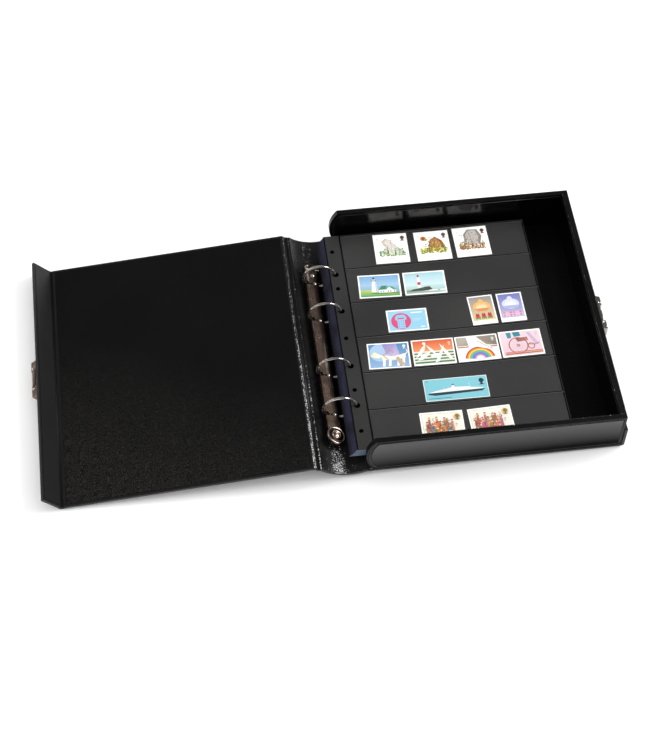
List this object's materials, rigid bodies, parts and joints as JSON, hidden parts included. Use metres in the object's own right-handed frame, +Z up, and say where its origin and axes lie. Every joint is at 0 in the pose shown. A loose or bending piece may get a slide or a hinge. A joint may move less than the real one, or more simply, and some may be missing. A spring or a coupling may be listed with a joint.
{
  "type": "stamp album",
  "caption": "Ring-bound stamp album in a folding box case, laid open, with stock pages of loose stamps and a clasp on its fore-edge flap.",
  "frame": {"origin": "centre of the bounding box of the open album, on the surface it rests on", "axes": "+X from the turned-over front cover towards the fore-edge of the box case, +Y along the spine towards the head, +Z up"},
  "size_m": [0.5548, 0.2748, 0.0537],
  "materials": {
    "leatherette": "black grained leatherette",
    "liner": "near-black fine-grained lining",
    "panel": "black leatherette panel, satin",
    "nickel": "nickel-plated steel",
    "dark_nickel": "dark nickel-plated steel",
    "page_card": "black stock card",
    "margin_strip": "black vinyl binding strip",
    "film": "clear glossy film",
    "stamp_paper": "printed stamp paper"
  },
  "bodies": {
    "case": {"back_cover_board": "leatherette", "fore_edge_band": "leatherette", "tray_floor_lining": "liner", "rear_wall": "leatherette", "front_wall": "leatherette", "fore_edge_wall": "leatherette", "rear_outer_panel": "panel", "front_outer_panel": "panel", "rear_inner_lining": "liner", "front_inner_lining": "liner", "fore_edge_lining": "liner", "back_hinge_strip": "leatherette", "catch_base": "dark_nickel", "catch_rivets": "nickel", "catch_pin": "nickel"},
    "catch": {"catch_latch": "dark_nickel"},
    "spine": {"spine_shell": "leatherette", "spine_lining": "liner", "front_hinge_strip": "leatherette", "ring_top_plate": "dark_nickel", "mounting_posts": "nickel", "lever_pin": "nickel"},
    "lever": {"opening_lever": "nickel"},
    "left_rings": {"left_carrier_blade": "nickel", "left_half_rings": "nickel"},
    "right_rings": {"right_carrier_blade": "nickel", "right_half_rings": "nickel"},
    "front_cover": {"front_cover_board": "leatherette", "front_cover_lining": "liner", "flap_hinge_strip": "leatherette"},
    "flap": {"flap_board": "leatherette", "flap_lining": "liner", "hasp_base": "dark_nickel", "hasp_rivets": "nickel", "hasp_pin": "nickel"},
    "tongue": {"hasp_tongue": "dark_nickel"},
    "pages": {"page_2": "page_card", "page_3": "page_card", "page_4": "page_card", "page_5": "page_card", "page_6": "page_card", "page_7": "page_card"},
    "top_page": {"page_1_backing": "page_card", "page_1_margin_strip": "margin_strip", "pocket_strip_1": "film", "pocket_strip_2": "film", "pocket_strip_3": "film", "pocket_strip_4": "film", "pocket_strip_5": "film", "pocket_strip_6": "film", "stamps_row_1": "stamp_paper", "stamps_row_2": "stamp_paper", "stamps_row_3": "stamp_paper", "stamps_row_4": "stamp_paper", "stamps_row_5": "stamp_paper", "stamps_row_6": "stamp_paper"}
  },
  "joints": [
    {"name": "spine_hinge", "type": "hinge", "parent": "case", "child": "spine", "pos_m": [0.02921, 0, 0.00853], "axis": [0, 1, 0], "range_deg": [0, 78.6]},
    {"name": "cover_hinge", "type": "hinge", "parent": "spine", "child": "front_cover", "pos_m": [-0.01927, 0, 0.01945], "axis": [0, 1, 0], "range_deg": [0, 107.15]},
    {"name": "flap_hinge", "type": "hinge", "parent": "front_cover", "child": "flap", "pos_m": [-0.25695, 0, 0.0009], "axis": [0, 1, 0], "range_deg": [-54.85, 35.15]},
    {"name": "tongue_hinge", "type": "hinge", "parent": "flap", "child": "tongue", "pos_m": [-0.27441, 0, 0.01462], "axis": [0, 1, 0], "range_deg": [0, 180]},
    {"name": "catch_hinge", "type": "hinge", "parent": "case", "child": "catch", "pos_m": [0.27256, 0, 0.01656], "axis": [0, -1, 0], "range_deg": [-30, 0]},
    {"name": "ring_lever", "type": "hinge", "parent": "spine", "child": "lever", "pos_m": [0.0013, 0.094, 0.0143], "axis": [0.8839, 0, -0.4678], "range_deg": [-20, 0]},
    {"name": "left_rings_hinge", "type": "hinge", "parent": "spine", "child": "left_rings", "pos_m": [0.00046, 0, 0.01271], "axis": [0, 1, 0], "range_deg": [-7.5, 0]},
    {"name": "right_rings_hinge", "type": "hinge", "parent": "spine", "child": "right_rings", "pos_m": [0.00046, 0, 0.01271], "axis": [0, 1, 0], "range_deg": [0, 7.5]},
    {"name": "pages_on_rings", "type": "hinge", "parent": "spine", "child": "pages", "pos_m": [0.00813, 0, 0.02721], "axis": [0, 1, 0], "range_deg": [-78.6, 0]},
    {"name": "top_page_turn", "type": "hinge", "parent": "pages", "child": "top_page", "pos_m": [0.00813, 0, 0.02721], "axis": [0, 1, 0], "range_deg": [-180, 0]}
  ],
  "couplings": [
    {"joint": "left_rings_hinge", "follows": "ring_lever", "ratio": 0.375},
    {"joint": "right_rings_hinge", "follows": "ring_lever", "ratio": -0.375},
    {"joint": "pages_on_rings", "follows": "spine_hinge", "ratio": -1}
  ]
}
